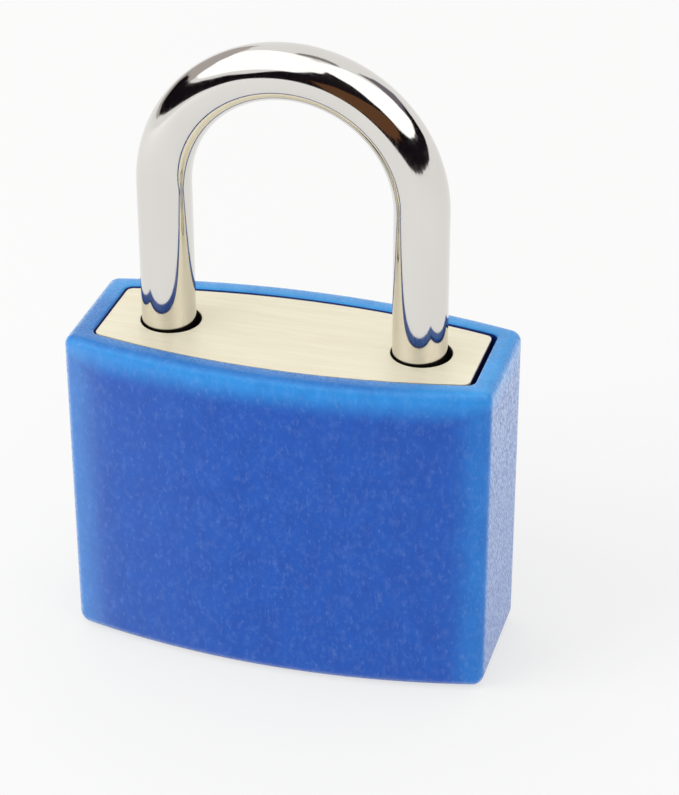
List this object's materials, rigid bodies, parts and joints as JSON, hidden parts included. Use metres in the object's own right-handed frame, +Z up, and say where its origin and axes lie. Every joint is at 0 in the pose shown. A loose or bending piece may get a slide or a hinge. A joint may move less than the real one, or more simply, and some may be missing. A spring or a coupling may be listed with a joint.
{
  "type": "padlock",
  "caption": "Small brass pin-tumbler padlock in a moulded plastic jacket, with a sliding shackle, spring latch, turning plug and pin stacks.",
  "frame": {"origin": "middle of the jacket's bottom face", "axes": "+Z up through the shackle, +Y to the rear, +X to the right, the short leg's side"},
  "size_m": [0.023, 0.0104, 0.0344],
  "materials": {
    "blue_plastic": "moulded blue plastic, fine matt texture",
    "brass_body": "pale brass, brushed along its width",
    "chrome_bar": "polished chrome plate",
    "brass_inner": "turned brass",
    "pin_steel": "ground steel pin",
    "latch_steel": "turned steel, zinc plated",
    "spring_steel": "drawn spring wire"
  },
  "bodies": {
    "case": {"jacket": "blue_plastic", "lock_body": "brass_body", "shackle_spring": "spring_steel", "shackle_retaining_pin": "pin_steel", "latch_spring": "spring_steel", "latch_bore_plug": "brass_inner", "plug_retaining_pin": "pin_steel", "pin_spring_1": "spring_steel", "pin_spring_2": "spring_steel", "pin_spring_3": "spring_steel", "pin_chamber_cap_1": "brass_inner", "pin_chamber_cap_2": "brass_inner", "pin_chamber_cap_3": "brass_inner"},
    "shackle": {"shackle": "chrome_bar"},
    "latch": {"latch": "latch_steel"},
    "plug": {"plug": "brass_inner"},
    "driver_pin_1": {"driver_pin_1": "pin_steel"},
    "driver_pin_2": {"driver_pin_2": "pin_steel"},
    "driver_pin_3": {"driver_pin_3": "pin_steel"},
    "key_pin_1": {"key_pin_1": "brass_inner"},
    "key_pin_2": {"key_pin_2": "brass_inner"},
    "key_pin_3": {"key_pin_3": "brass_inner"}
  },
  "joints": [
    {"name": "shackle_lift", "type": "slide", "parent": "case", "child": "shackle", "axis": [0, 0, 1], "range_m": [0, 0.0053]},
    {"name": "latch_slide", "type": "slide", "parent": "case", "child": "latch", "axis": [-1, 0, 0], "range_m": [-0.0012, 0]},
    {"name": "plug_turn", "type": "hinge", "parent": "case", "child": "plug", "pos_m": [0, 0, 0.006], "axis": [0, 0, 1], "range_deg": [0, 90]},
    {"name": "driver_pin_1_slide", "type": "slide", "parent": "case", "child": "driver_pin_1", "axis": [1, 0, 0], "range_m": [-0.00085, 0]},
    {"name": "driver_pin_2_slide", "type": "slide", "parent": "case", "child": "driver_pin_2", "axis": [1, 0, 0], "range_m": [-0.00035, 0]},
    {"name": "driver_pin_3_slide", "type": "slide", "parent": "case", "child": "driver_pin_3", "axis": [1, 0, 0], "range_m": [-0.00065, 0]},
    {"name": "key_pin_1_slide", "type": "slide", "parent": "plug", "child": "key_pin_1", "axis": [1, 0, 0], "range_m": [-0.00085, 0]},
    {"name": "key_pin_2_slide", "type": "slide", "parent": "plug", "child": "key_pin_2", "axis": [1, 0, 0], "range_m": [-0.00035, 0]},
    {"name": "key_pin_3_slide", "type": "slide", "parent": "plug", "child": "key_pin_3", "axis": [1, 0, 0], "range_m": [-0.00065, 0]}
  ],
  "couplings": [
    {"joint": "key_pin_1_slide", "follows": "driver_pin_1_slide", "ratio": 1},
    {"joint": "key_pin_2_slide", "follows": "driver_pin_2_slide", "ratio": 1},
    {"joint": "key_pin_3_slide", "follows": "driver_pin_3_slide", "ratio": 1}
  ]
}
